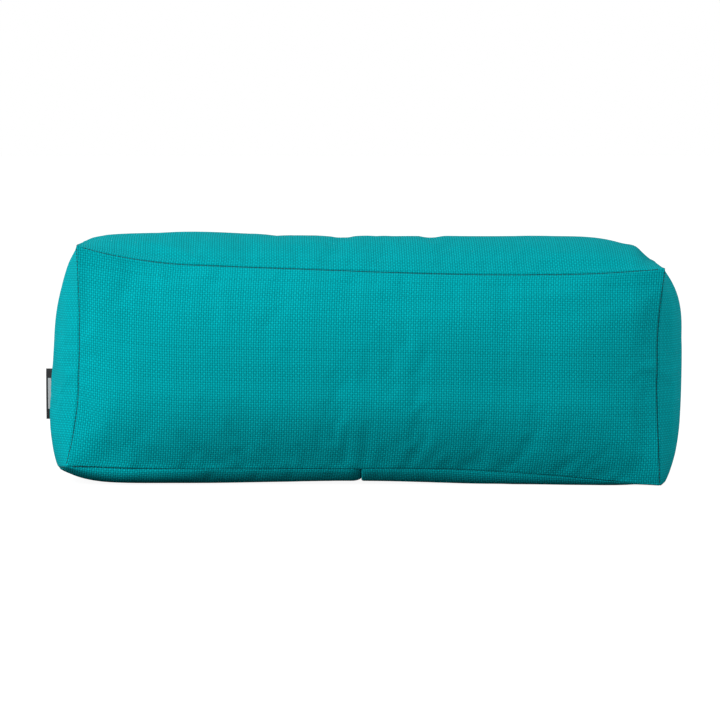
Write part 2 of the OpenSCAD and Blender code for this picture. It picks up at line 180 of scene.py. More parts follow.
# The seams along x, y and z, by their sides on the two other axes:
# how far each is drawn in along those axes, and how it bows
SEAM_SHAPES = (
    {(-1, 1): (0.010, 0.0145, slack(LENGTH, 0.125, 0.29)), (-1, -1): (0.004, 0.0083, hollow(0.67, 1.3)),
     (1, 1): (0.011, 0.0130, slack(LENGTH, 0.20, 0.22)), (1, -1): (0.009, 0.0085, hollow(0.46, 1.2))},
    {(-1, 1): (-0.002, -0.002, slack(DEPTH, 0.09, 0.09)), (1, 1): (0.001, 0.000, slack(DEPTH, 0.09, 0.09)),
     (-1, -1): (-0.013, -0.006, slack(DEPTH, 0.06, 0.08)),
     (1, -1): (-0.0105, -0.001, slack(DEPTH, 0.055, 0.08))},
    {(-1, -1): (0.0072, 0.005, hollow(0.38, 1.2)), (1, -1): (0.0045, 0.005, hollow(0.62, 1.1)),
     (-1, 1): (0.005, 0.005, hollow(0.5, 1.2)), (1, 1): (0.005, 0.005, hollow(0.45, 1.2))},
)


def seam(axis, sides, t, inset):
    """Points of the seam along an axis; sides says where it is on each of the two other axes."""
    *drawn, shape = SEAM_SHAPES[axis][tuple(sides[other] for other in sorted(sides))]
    bowed = shape(t)
    points = np.empty((len(t), 3))
    points[:, axis] = (2 * t - 1) * (SIZE[axis] / 2 - inset)
    for far, (other, side) in zip(drawn, sorted(sides.items())):
        points[:, other] = side * (SIZE[other] / 2 - inset - far * bowed)
    return points


def patch(name, s, t, inset):
    """The smooth surface between a panel's four seams: two run with s, and two with t."""
    axis_s, axis_t, out, side, _ = FACES[name]

    def with_s(at):
        return [seam(axis_s, {axis_t: end, out: side}, at, inset) for end in (-1, 1)]

    (c00, c10), (c01, c11) = with_s(np.array([0.0, 1.0]))
    low, high = with_s(s)
    left, right = [seam(axis_t, {axis_s: end, out: side}, t, inset) for end in (-1, 1)]
    s, t = s[None, :, None], t[:, None, None]
    rows, columns = mix(low[None], high[None], t), mix(left[:, None], right[:, None], s)
    return rows + columns - mix(mix(c00, c10, s), mix(c01, c11, s), t)


# Each skin can be drawn in: its seams by inset along each axis, its middle by gap
def side_skin(name, u, w, inset=0.0, gap=0.0):
    flat = patch(name, u, w, inset)
    full = dome(name, u, w, ((0.17, 3), (0.15, 3)), ((0.080, 1.7), (0.090, 2.4)))
    flat[..., 1] = mix(flat[..., 1], FACES[name][3] * (DEPTH / 2 + SIDE_SWELL - gap), full)
    return placed(flat)


def end_skin(name, v, w, inset=0.0, gap=0.0):
    flat = patch(name, v, w, inset)
    swell, up = ((LEFT_SWELL, ((0.06, 3.0), (0.115, 3.0))) if name == "left_end_panel"
                 else (RIGHT_SWELL, ((0.09, 2.6), (0.10, 4.0))))
    full = dome(name, v, w, ((0.095, 2.2), (0.095, 2.2)), up)
    flat[..., 0] = mix(flat[..., 0], FACES[name][3] * (LENGTH / 2 + swell - gap), full)
    return placed(flat)


def top_skin(name, u, v, inset=0.0, gap=0.0):
    flat = placed(patch(name, u, v, inset))
    full = dome(name, u, v, ((0.045, 3.0), (0.105, 3.6)), ((0.092, 2.3), (0.092, 2.3)))
    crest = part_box("top_panel")[1].z - 0.0014 + 0.0033 * np.exp(-((flat[..., 0] + 0.185) / 0.09) ** 2)
    flat[..., 2] = mix(flat[..., 2], crest - gap, full)
    return flat


def floor_gap(x, y=0.0):
    """Height of the underside over the floor: the closure stays lifted, most of all along its zip."""
    reach = np.where(x < CLOSURE_X, 0.12, 0.095)
    past_zip = np.clip((np.abs(y) - 0.0795) / 0.008, 0, 1)
    return LIFT * (1 - 0.6 * past_zip) * np.exp(-((x - CLOSURE_X) / reach) ** 2)


def under_skin(name, u, v, inset=0.0, gap=0.0):
    flat = placed(patch(name, u, v, inset))
    # the cloth rolls under slowly from the long seams, and quicker at the end that sits lower
    reach = np.interp(u, (0, 0.2, 0.45, 0.75), (0.024, 0.024, 0.023, 0.011))[None, :]
    # at the end that sits higher the cloth goes straight down first and then turns under
    upright = np.interp(u, (0, 0.10, 0.24, 1), (1, 1, 0, 0))[None, :]
    down = fullness(u, LENGTH, (0.11, 4.5), (0.06, 3))[None, :]
    for share in (v[:, None], 1 - v[:, None]):
        left = 1 - np.clip(share * DEPTH / reach, 0, 1)
        down = down * mix(1 - left**2.4, np.sqrt(1 - left**2), upright)
    flat[..., 2] = np.maximum(mix(flat[..., 2], floor_gap(flat[..., 0], flat[..., 1]) + gap, down),
                               FLOOR_CLEARANCE + gap)
    return flat


SKINS = {"front_panel": side_skin, "back_panel": side_skin, "top_panel": top_skin,
         "left_end_panel": end_skin, "right_end_panel": end_skin, "under": under_skin}


# ---- cloth simulation of the filled cover
CELLS = (90, 30, 33)
FRAMES = 20
# The share of the simulation's wrinkles that is kept, and the most that one may move the cloth
WRINKLE_SHARE, WRINKLE_CAP = 0.48, 0.0028


def lattice_index(name, i, j):
    """Grid place i along the panel and j up it, as a place on the box's lattice."""
    axis_s, axis_t, out, side, _ = FACES[name]
    place = {axis_s: i, axis_t: j, out: CELLS[out] if side > 0 else 0}
    return place[0], place[1], place[2]


def panel_cells(name):
    return CELLS[FACES[name][0]], CELLS[FACES[name][1]]


def box_skin(inset=0.0, gaps=None):
    """One closed skin of all panels: points, faces, and which point each panel's grid uses."""
    index, points, faces, uses = {}, [], [], {}
    for name, skin in SKINS.items():
        cols, rows = panel_cells(name)
        gap = gaps[name] if gaps else 0.0
        grid = skin(name, np.linspace(0, 1, cols + 1), np.linspace(0, 1, rows + 1), inset, gap)
        ids = np.zeros((rows + 1, cols + 1), int)
        for j in range(rows + 1):
            for i in range(cols + 1):
                key = lattice_index(name, i, j)
                if key not in index:
                    index[key] = len(points)
                    points.append(grid[j, i])
                ids[j, i] = index[key]
        for j in range(rows):
            for i in range(cols):
                face = [ids[j, i], ids[j, i + 1], ids[j + 1, i + 1], ids[j + 1, i]]
                faces.append(face[::-1] if FLAT[name][2] else face)
        uses[name] = ids
    return np.array(points), faces, uses


def smoothed(values, edges, rounds):
    """Values on mesh points, averaged with their neighbours."""
    count = np.zeros(len(values))
    np.add.at(count, edges.ravel(), 1)
    for _ in range(rounds):
        total = np.zeros_like(values)
        np.add.at(total, edges[:, 0], values[edges[:, 1]])
        np.add.at(total, edges[:, 1], values[edges[:, 0]])
        values = values * 0.4 + 0.6 * total / count[:, None]
    return values


def settled(points, faces, uses):
    """How far each point moves when the cover, cut a little larger than its seams, swells on its filling."""
    cover = mesh_object("sewn_box", points.tolist(), faces)
    mesh = cover.data
    seam = np.zeros(len(points))
    for ids in uses.values():
        for edge in (ids[0], ids[-1], ids[:, 0], ids[:, -1]):
            seam[edge] = 1
    edges = np.array([e.vertices[:] for e in mesh.edges])
    shrink = cover.vertex_groups.new(name="shrink")
    pin = cover.vertex_groups.new(name="pin")
    held = np.zeros(len(points))
    held[uses["under"][2:-2, 2:-2]] = 1
    for i in range(len(points)):
        shrink.add([i], float(seam[i]), "REPLACE")
        pin.add([i], float(held[i]), "REPLACE")
    cloth = cover.modifiers.new("swell", "CLOTH")
    s = cloth.settings
    s.quality = 6
    s.mass = 0.2
    s.tension_stiffness = s.compression_stiffness = 40
    s.shear_stiffness = 12
    s.bending_stiffness = 0.6
    s.tension_damping = s.compression_damping = s.shear_damping = 20
    s.vertex_group_mass = "pin"
    s.vertex_group_shrink = "shrink"
    s.shrink_min = -0.020
    s.shrink_max = 0.0
    s.use_pressure = True
    s.uniform_pressure_force = 4
    s.effector_weights.gravity = 0
    cloth.point_cache.frame_start = 1
    cloth.point_cache.frame_end = FRAMES + 4
    for f in range(1, FRAMES + 1):
        scene.frame_set(f)
    swollen = cover.evaluated_get(bpy.context.evaluated_depsgraph_get()).to_mesh()
    moved = np.zeros(len(points) * 3, np.float32)
    swollen.vertices.foreach_get("co", moved)
    moved = moved.reshape(-1, 3).astype(float) - points
    scene.frame_set(1)
    bpy.data.objects.remove(cover)
    bpy.data.meshes.remove(mesh)
    corners = np.array([points[uses[name][j, i]] for name in ("front_panel", "back_panel")
                        for j in (0, -1) for i in (0, -1)])
    to_corner = np.linalg.norm(points[:, None] - corners[None], axis=2).min(1)
    away_from_corners = np.clip(to_corner / 0.06, 0, 1) ** 1.5
    wrinkles = moved - smoothed(moved, edges, 26)
    far = np.linalg.norm(wrinkles, axis=1)
    # the seams hold the cloth smooth in the corners
    share = WRINKLE_SHARE * np.minimum(far, WRINKLE_CAP) / np.maximum(far, 1e-9) * away_from_corners
    return wrinkles * share[:, None]


def spline_weights(n, at):
    """Weights of n + 1 even samples for smooth values at the given places."""
    x = np.clip(at, 0, 1) * n
    i = np.minimum(np.floor(x).astype(int), n - 1)
    f = x - i
    out = np.zeros((len(at), n + 1))
    terms = ((-1, -0.5 * f + f**2 - 0.5 * f**3), (0, 1 - 2.5 * f**2 + 1.5 * f**3),
             (1, 0.5 * f + 2 * f**2 - 1.5 * f**3), (2, -0.5 * f**2 + 0.5 * f**3))
    for step, weight in terms:
        np.add.at(out, (np.arange(len(at)), np.clip(i + step, 0, n)), weight)
    return out


box_points, box_faces, box_uses = box_skin()
box_moves = settled(box_points, box_faces, box_uses)


# ---- soft folds that the filling leaves
# panel: centre along and up the panel, length and width, direction in degrees, height (metres)
FOLDS = {
    "front_panel": [
        (0.115, 0.90, 0.030, 0.010, -55, -0.0016), (0.090, 0.955, 0.016, 0.006, -70, -0.0008),
        (0.145, 0.93, 0.026, 0.007, -80, 0.0008), (0.055, 0.86, 0.050, 0.012, -78, 0.0010),
        (0.90, 0.86, 0.080, 0.014, 18, -0.0018), (0.875, 0.965, 0.050, 0.010, 20, 0.0012),
        (0.965, 0.80, 0.040, 0.010, -75, 0.0010), (0.05, 0.22, 0.080, 0.016, 62, 0.0014),
        (0.09, 0.12, 0.060, 0.012, 48, -0.0010), (0.95, 0.16, 0.060, 0.014, -42, 0.0012),
        (0.50, 0.10, 0.160, 0.020, 2, -0.0010), (0.745, 0.90, 0.045, 0.013, -52, -0.0018),
        (0.42, 0.55, 0.240, 0.060, 8, 0.0016),
        (0.70, 0.38, 0.200, 0.050, -12, -0.0012), (0.205, 0.875, 0.032, 0.012, -50, -0.0016),
        (0.617, 0.875, 0.060, 0.014, 8, -0.0018), (0.765, 0.55, 0.085, 0.045, 86, -0.0026),
    ],
    "top_panel": [
        (0.16, 0.42, 0.070, 0.014, 24, 0.0022), (0.10, 0.34, 0.050, 0.012, 20, -0.0014),
        (0.50, 0.30, 0.200, 0.030, 3, 0.0010), (0.964, 0.42, 0.060, 0.009, 84, 0.0030),
        (0.984, 0.38, 0.050, 0.006, 84, -0.0022),
        (0.06, 0.80, 0.050, 0.012, -40, 0.0012), (0.90, 0.85, 0.060, 0.012, 35, 0.0010),
    ],
    "back_panel": [
        (0.10, 0.88, 0.060, 0.014, -48, -0.0016), (0.91, 0.88, 0.060, 0.012, 40, -0.0014),
        (0.06, 0.15, 0.070, 0.016, 50, 0.0014), (0.94, 0.18, 0.060, 0.014, -50, 0.0012),
        (0.35, 0.50, 0.220, 0.060, -6, 0.0014),
    ],
    "left_end_panel": [
        (0.20, 0.80, 0.060, 0.012, -50, 0.0012), (0.80, 0.25, 0.060, 0.014, -46, -0.0012),
        (0.22, 0.20, 0.060, 0.012, 48, 0.0012),
    ],
    "right_end_panel": [
        (0.22, 0.82, 0.060, 0.012, -50, -0.0012), (0.80, 0.80, 0.060, 0.012, 46, 0.0012),
        (0.25, 0.15, 0.050, 0.012, 42, 0.0014),
    ],
    "under": [],
}


def folds(name, s, t):
    """Height of the soft folds on a panel; they end at its seams."""
    width, height, _ = FLAT[name]
    x, y = s[None, :] * width, t[:, None] * height
    total = np.zeros((len(t), len(s)))
    for cs, ct, long, wide, angle, rise in FOLDS[name]:
        a = math.radians(angle)
        dx, dy = x - cs * width, y - ct * height
        along, across = dx * math.cos(a) + dy * math.sin(a), dy * math.cos(a) - dx * math.sin(a)
        total += rise * np.exp(-((along / long) ** 2) - (across / wide) ** 2)
    return total * dome(name, s, t, ((0.012, 2), (0.012, 2)), ((0.012, 2), (0.012, 2)))


# ---- panels of cloth
EDGE_STEPS = np.array([0.0, 0.0005, 0.0012, 0.0022, 0.0036, 0.0056, 0.0084])
CELL = 0.0034
GROOVE = 0.0026
SEAM_GAP = 0.00015
# Shares of the turned-in allowance where it has a row of points
FLANGE = (1.0, 0.45)


def stations(length, stop=1.0):
    """Places along a side, closer together beside its seams; a side that stops short has one seam only."""
    seam_at_end = stop == 1.0
    a, b = EDGE_STEPS[-1], stop * length - (EDGE_STEPS[-1] if seam_at_end else 0.0)
    parts = [EDGE_STEPS[:-1], np.linspace(a, b, max(2, int(round((b - a) / CELL)) + 1))]
    if seam_at_end:
        parts.append(stop * length - EDGE_STEPS[:-1][::-1])
    return np.concatenate(parts) / length


def read_edge(edge):
    """An edge's name as whether it crosses s, and its side: s0 and s1, t0 and t1."""
    return edge[0] == "s", 1 if edge[1] == "1" else -1


def flat_ends(share, size):
    """Seams run out flat where three of them meet."""
    return 0.3 + 0.7 * np.clip(np.minimum(share, 1 - share) * size / 0.03, 0, 1)


def sunk(d):
    """How far the rolled edge sinks at a distance from its seam."""
    return GROOVE - np.sqrt(np.maximum(GROOVE**2 - np.clip(GROOVE - d, 0, None) ** 2, 0))


def drawn_tight(name, edge, share):
    """How deep a seam lies along its run: the lower front seam is almost flat past its left end."""
    if (name, edge) in (("front_panel", "t0"), ("under", "t0")):
        return 0.25 + 0.75 * np.exp(-(share / 0.10) ** 2)
    return np.ones_like(share)


def outward(name):
    out = np.zeros(3)
    out[FACES[name][2]] = FACES[name][3]
    return out


def inwards(name, side, along_s):
    """Inward diagonal at one seam of a panel, and the panel's own inward direction there."""
    own = np.zeros(3)
    own[FACES[name][0 if along_s else 1]] = -side
    return turned((own - outward(name)) / math.sqrt(2)), turned(own)


def skin_grid(name, s, t, *drawn_in):
    """Points of a panel's skin with the simulation's wrinkles."""
    cols, rows = panel_cells(name)
    moves = box_moves[box_uses[name]]
    return (SKINS[name](name, s, t, *drawn_in)
            + np.einsum("ti,sj,ijk->tsk", spline_weights(rows, t), spline_weights(cols, s), moves))


def panel_grid(name, s, t):
    """Points of a panel with its wrinkles and folds."""
    return skin_grid(name, s, t) + folds(name, s, t)[..., None] * turned(outward(name))


def rolled(base, name, s, t, edges):
    """Sinks the panel's edges into their seams and adds the turned-in allowance."""
    width, height, _ = FLAT[name]
    shift = np.zeros_like(base)
    for edge in edges:
        along_s, side = read_edge(edge)
        d = (s if along_s else t) * (width if along_s else height)
        d = (width if along_s else height) - d if side > 0 else d
        diagonal, own = inwards(name, side, along_s)
        amount = sunk(d)[:, None] * diagonal + (np.clip(1 - d / 0.0012, 0, 1) * SEAM_GAP)[:, None] * own
        if along_s:
            shift += amount[None, :, :] * flat_ends(t, height)[:, None, None]
        else:
            shift += amount[:, None, :] * (flat_ends(s, width) * drawn_tight(name, edge, s))[None, :, None]
    grid = base + shift
    s_low, s_high, t_low, t_high = s * width, (1 - s) * width, t * height, (1 - t) * height
    for edge in edges:
        along_s, side = read_edge(edge)
        if along_s:
            grid = with_flange(grid, name, side, True, t_low, t_high)
            extra = np.zeros(len(FLANGE))
            s_low, s_high = [np.concatenate([extra, v] if side < 0 else [v, extra]) for v in (s_low, s_high)]
        else:
            grid = with_flange(grid, name, side, False, s_low, s_high)
    return grid


def with_flange(grid, name, side, along_s, low, high):
    """Adds the turned-in allowance at one edge; it is clipped away towards the panel's corners."""
    diagonal, _ = inwards(name, side, along_s)
    last = 0 if side < 0 else -1
    border = grid[:, last] if along_s else grid[last]
    # towards a corner the allowance narrows and leans away from it
    _, from_low = inwards(name, -1, not along_s)
    _, from_high = inwards(name, 1, not along_s)
    clipped = 0.022
    near_low, near_high = 1 - np.clip(low / clipped, 0, 1), 1 - np.clip(high / clipped, 0, 1)
    full = (ALLOWANCE - 0.001) * math.sqrt(2) * (1 - 0.88 * np.maximum(near_low, near_high))
    lean = (near_low[:, None] * from_low + near_high[:, None] * from_high) * 0.003
    strips = np.stack([border + (diagonal * full[:, None] + lean) * share for share in FLANGE],
                      1 if along_s else 0)
    if side > 0:
        strips = strips[:, ::-1] if along_s else strips[::-1]
    return np.concatenate([strips, grid] if side < 0 else [grid, strips], 1 if along_s else 0)


def threads(grid):
    """Distances along the two families of threads from the panel's middle: where each yarn runs."""
    def run(g):
        steps = np.linalg.norm(np.diff(g, axis=1), axis=2)
        far = np.concatenate([np.zeros((g.shape[0], 1)), np.cumsum(steps, 1)], 1)
        return far - far[:, [g.shape[1] // 2]]
    return np.stack([run(grid), run(grid.transpose(1, 0, 2)).T, np.zeros(grid.shape[:2])], -1)


def grid_object(name, grid, over, material):
    """A sheet of faces over rows and columns of points, which knows where its yarns run."""
    rows, cols = grid.shape[:2]
    ids = np.arange(rows * cols).reshape(rows, cols)
    quads = np.stack([ids[:-1, :-1], ids[:-1, 1:], ids[1:, 1:], ids[1:, :-1]], -1).reshape(-1, 4)
    if over:
        quads = quads[:, ::-1]
    obj = mesh_object(name, grid.reshape(-1, 3).tolist(), quads.tolist())
    weave = obj.data.attributes.new("weave", "FLOAT_VECTOR", "POINT")
    weave.data.foreach_set("vector", threads(grid).astype(np.float32).ravel())
    obj.data.shade_smooth()
    obj.data.materials.append(material)
    return obj


def mesh_piece(name, points, faces, material, slot):
    """A smooth piece of the cover from points and faces."""
    obj = mesh_object(name, points.tolist(), faces)
    obj.data.shade_smooth()
    obj.data.materials.append(material)
    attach(obj, "cover")
    return obj


def thickened(piece, thickness, offset=-1):
    thick = piece.modifiers.new("thickness", "SOLIDIFY")
    thick.thickness = thickness
    thick.offset = offset


def cloth_piece(piece, node, thickness):
    """Makes a sheet a piece of the cover that stands for a CAD node."""
    thickened(piece, thickness)
    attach(piece, "cover")
    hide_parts(node)


# ---- materials
class Graph:
    """A Principled material and short ways to add nodes to it."""

    def __init__(self, name, **values):
        self.material = bpy.data.materials.new(name)
        self.material.use_nodes = True
        self.tree = self.material.node_tree
        self.tree.nodes.clear()
        self.surface = self.add("ShaderNodeBsdfPrincipled")
        out = self.add("ShaderNodeOutputMaterial")
        self.tree.links.new(self.surface.outputs[0], out.inputs[0])
        for key, value in values.items():
            self.surface.inputs[key.replace("_", " ")].default_value = value

    def add(self, kind, **props):
        node = self.tree.nodes.new(kind)
        for key, value in props.items():
            setattr(node, key, value)
        return node

    def put(self, socket, value):
        if isinstance(value, bpy.types.NodeSocket):
            self.tree.links.new(value, socket)
        else:
            socket.default_value = value

    def set(self, name, value):
        self.put(self.surface.inputs[name], value)

    def place(self):
        return self.add("ShaderNodeTexCoord").outputs["Object"]

    def times(self, a, b):
        return self.math("MULTIPLY", a, b)

    def fit(self, value, factor, offset, clamp=False):
        return self.math("MULTIPLY_ADD", value, factor, offset, clamp)

    def result(self, kind, *values, **props):
        """First output of a new node that has these values in its first inputs."""
        node = self.add(kind, **props)
        for socket, value in zip(node.inputs, values):
            self.put(socket, value)
        return node.outputs[0]

    def math(self, op, a, b=0.0, c=0.0, clamp=False):
        return self.result("ShaderNodeMath", a, b, c, operation=op, use_clamp=clamp)

    def span(self, value, low, high, to_low=0.0, to_high=1.0):
        return self.result("ShaderNodeMapRange", value, low, high, to_low, to_high,
                           interpolation_type="SMOOTHSTEP")

    def noise(self, vector, scale, detail=2.0, rough=0.5):
        node = self.add("ShaderNodeTexNoise")
        self.put(node.inputs["Vector"], vector)
        for key, value in (("Scale", scale), ("Detail", detail), ("Roughness", rough)):
            node.inputs[key].default_value = value
        return node.outputs[0]

    def chance(self, value):
        node = self.add("ShaderNodeTexWhiteNoise", noise_dimensions="1D")
        self.put(node.inputs["W"], value)
        return node.outputs[0]

    def joined(self, x, y, z=0.0):
        return self.result("ShaderNodeCombineXYZ", x, y, z)

    def split(self, vector):
        node = self.add("ShaderNodeSeparateXYZ")
        self.put(node.inputs[0], vector)
        return node.outputs

    def tinted(self, fac, a, b):
        node = self.add("ShaderNodeMix", data_type="RGBA")
        self.put(node.inputs["Factor"], fac)
        sockets = [i for i in node.inputs if i.type == "RGBA"]
        self.put(sockets[0], a)
        self.put(sockets[1], b)
        return [o for o in node.outputs if o.type == "RGBA"][0]

    def scaled(self, colour, factor):
        node = self.add("ShaderNodeVectorMath", operation="SCALE")
        self.put(node.inputs[0], colour)
        self.put(node.inputs["Scale"], factor)
        return node.outputs[0]

    def bump(self, height, distance, strength=1.0):
        node = self.add("ShaderNodeBump")
        node.inputs["Distance"].default_value = distance
        node.inputs["Strength"].default_value = strength
        self.put(node.inputs["Height"], height)
        self.put(self.surface.inputs["Normal"], node.outputs[0])


# How round the yarns of the two families look: the lower, the flatter
WARP_LOFT, WEFT_LOFT = 0.55, 0.198


def place_on_cloth(g):
    return g.add("ShaderNodeAttribute", attribute_name="weave").outputs["Vector"]


def woven(name, light, dark, pitch, relief, depth, sheen=0.08, sheen_tint=(0.1, 0.9, 0.95, 1), rough=0.9,
          specular=0.02, wobble=0.00025, slub=0.06, warp_gain=0.18, printed=None):
    """Plain weave of round yarns: each cell shows either the warp or the weft on top; the gaps between the
    yarns hold painted shade.
    """
    g = Graph(name, Roughness=rough, Sheen_Weight=sheen, Sheen_Roughness=0.5, Sheen_Tint=sheen_tint)
    g.set("Specular IOR Level", specular)
    p = place_on_cloth(g)
    x, y, _ = g.split(p)
    x = g.fit(g.math("SUBTRACT", g.noise(p, 60, 2), 0.5), wobble * 4, x)
    y = g.fit(g.math("SUBTRACT", g.noise(g.joined(y, x, 3.7), 60, 2), 0.5), wobble * 4, y)
    u, v = g.math("DIVIDE", x, pitch), g.math("DIVIDE", y, pitch)
    iu, iv = g.math("FLOOR", u), g.math("FLOOR", v)
    pu = g.math("SINE", g.times(g.math("FRACT", u), math.pi))
    pv = g.math("SINE", g.times(g.math("FRACT", v), math.pi))
    over = g.times(g.math("COSINE", g.times(iu, math.pi)),
                  g.math("COSINE", g.times(iv, math.pi)))
    warp_yarn = g.times(g.math("POWER", pu, WARP_LOFT), 0.63)
    weft_yarn = g.times(g.math("POWER", pv, WEFT_LOFT), 0.53)
    warp = g.fit(g.times(over, pv), 0.35, warp_yarn)
    weft = g.fit(g.times(over, pu), -0.35, weft_yarn)
    height = g.math("MAXIMUM", warp, weft)
    on_top = g.fit(g.math("SUBTRACT", warp, weft), 6.0, 0.5, clamp=True)
    below = g.math("SUBTRACT", 1.0, on_top)
    yarn_number = g.math("ADD", g.times(iu, on_top),
                         g.times(g.math("ADD", iv, 517.0), below))
    yarn = g.times(g.math("SUBTRACT", g.chance(yarn_number), 0.5), slub * 2)
    warp_fibre = g.noise(g.joined(g.times(x, 9.0), y, 0.0), 700, 2)
    weft_fibre = g.noise(g.joined(x, g.times(y, 9.0), 5.0), 700, 2)
    fibre = g.math("ADD", g.times(warp_fibre, on_top), g.times(weft_fibre, below))
    cloud = g.noise(p, 9, 3, 0.6)
    # painted shade: the colour darkens from the yarns' crowns into the gaps between them, down to depth at the
    # lowest
    shade = g.span(height, 0.18, 0.82, depth, 1.0)
    # the warp on top is lighter by warp_gain: partly a real difference of the yarns, partly painted light on
    # their crowns
    shade = g.times(shade, g.fit(on_top, warp_gain, 1 - warp_gain / 2))
    shade = g.math("ADD", shade, yarn)
    shade = g.times(shade, g.fit(fibre, 0.22, 0.89))
    shade = g.times(shade, g.fit(cloud, 0.08, 0.96))
    # light colour on the crowns and dark colour in the gaps, by height: more painted shade between the yarns
    colour = g.scaled(g.tinted(g.span(height, 0.3, 0.95), dark, light), shade)
    if printed:
        colour = printed(g, colour)
    g.set("Base Color", colour)
    g.set("Roughness", g.fit(height, -0.12, rough + 0.06))
    g.bump(g.fit(fibre, 0.12, height), relief)
    return g.material


# the light teal goes on the yarns' crowns and the dark teal in the gaps between them, as painted shade
TEAL_LIGHT, TEAL_DARK = (0.0, 0.345, 0.385, 1), (0.0, 0.225, 0.255, 1)
YARN_PITCH = 0.0024
cover_cloth = woven("basket_weave_teal", TEAL_LIGHT, TEAL_DARK, YARN_PITCH, 0.0006, 0.58)

# ---- build the cover
PANEL_EDGES = ("s0", "s1", "t0", "t1")
panels = {}
for name in ("front_panel", "back_panel", "top_panel", "left_end_panel", "right_end_panel"):
    width, height, over = FLAT[name]
    s, t = stations(width), stations(height)
    grid = rolled(panel_grid(name, s, t), name, s, t, PANEL_EDGES)
    panels[name] = grid_object(name + "_cloth", grid, over, cover_cloth)

# Closure: the left half rolls into a soft fold, the right half ends in a crisp one, with the zip between.
# The halves meet from each long seam in to CLOSED, and are fully apart from OPEN_FROM on.
CLOSED, OPEN_FROM, GAP = 0.020 / 0.176, 0.026 / 0.176, 0.0043
# The hem's points past its edge: how far out, and how far up
HEM_PROFILE = ((0.0005, 0.0005), (0.0006, 0.0010), (0.0004, 0.0016), (-0.0006, 0.0020), (-0.006, 0.00203),
               (-HEM + 0.001, 0.00203))


def half_gap(t):
    """Half the gap between the two halves along the closure."""
    return 0.00015 + GAP * np.clip((np.minimum(t, 1 - t) - CLOSED) / (OPEN_FROM - CLOSED), 0, 1)


def with_fold(grid, side, t):
    """Moves the closure's edge to its line, rounds it upwards, and turns the hem back inside."""
    last = -1 if side < 0 else 0
    x = grid[..., 0]
    line = CLOSURE_X + side * half_gap(t)[:, None]
    near = np.exp(-((x - CLOSURE_X) / 0.02) ** 2)
    x_edge = grid[:, last, :1]
    x_new = x + (line - x_edge) * near
    d = np.abs(x_new - line)
    # the roll is full near the front and back seams and flattens along the zip
    ends = 1 - np.clip((np.minimum(t, 1 - t)[:, None] - 0.10) / 0.06, 0, 1)
    radius, depth = (0.0105, 0.0050) if side < 0 else (0.0016, 0.0008)
    lift = depth * (1 - np.sqrt(1 - np.clip(1 - d / radius, 0, 1) ** 2)) * mix(0.08, 1.0, ends)
    tilt = np.clip((np.abs(grid[..., 1]) - 0.066) / 0.02, 0, 1)
    grid = grid.copy()
    grid[..., 0] = x_new
    grid[..., 2] += lift * mix(1.0, 0.65, tilt)
    grid[..., 1] -= np.sign(grid[..., 1]) * lift * 0.8 * tilt
    hem = np.stack([grid[:, last] + np.array([-side * out, 0, up]) for out, up in HEM_PROFILE], 1)
    return np.concatenate([grid, hem], 1) if side < 0 else np.concatenate([hem[:, ::-1], grid], 1)


def hem_stations(side):
    """Places along one half of the underside, closer together beside its seam and its folded edge."""
    width = FLAT["under"][0]
    close = np.array([0.0, 0.0007, 0.0016, 0.0028, 0.0044, 0.0064, 0.0088, 0.0115]) / width
    far = stations(width, 0.5 - 0.0145 / width)
    left = np.concatenate([far, 0.5 - close[::-1]])
    return left if side < 0 else 1 - left[::-1]


for side, name in ((-1, "bottom_panel_left"), (1, "bottom_panel_right")):
    width, height, over = FLAT["under"]
    s, t = hem_stations(side), stations(height)
    grid = panel_grid("under", s, t)
    extra = len(FLANGE)
    base = rolled(grid, "under", s, t, ("s0" if side < 0 else "s1",))
    shift = rolled(grid, "under", s, t, ("t0", "t1"))[extra:-extra] - grid
    if side < 0:
        flange, body = base[:, :extra] + shift[:, :1], with_fold(base[:, extra:] + shift, side, t)
        grid = np.concatenate([flange, body], 1)
    else:
        flange, body = base[:, -extra:] + shift[:, -1:], with_fold(base[:, :-extra] + shift, side, t)
        grid = np.concatenate([body, flange], 1)
    # the hem runs into the long seams at its full width, and the other end is clipped at the corners
    outer_low = np.concatenate([np.zeros(extra), (s if side < 0 else 1 - s[::-1]) * width,
                                np.ones(len(HEM_PROFILE))])
    far = np.ones(len(outer_low))
    for end in (-1, 1):
        low, high = (outer_low, far) if side < 0 else (far, outer_low[::-1])
        grid = with_flange(grid, "under", end, False, low, high)
    panels[name] = grid_object(name + "_cloth", grid, over, cover_cloth)

for name, piece in panels.items():
    cloth_piece(piece, name, CLOTH)


# ---- sewing thread
def unit(v):
    return v / np.linalg.norm(v, axis=-1, keepdims=True)


def distances(path):
    """How far each point of a path lies along it."""
    return np.concatenate([[0], np.cumsum(np.linalg.norm(np.diff(path, axis=0), axis=1))])


def found(at, far, values):
    """Values along a path at some distances."""
    return np.stack([np.interp(at, far, values[:, k]) for k in range(3)], -1)


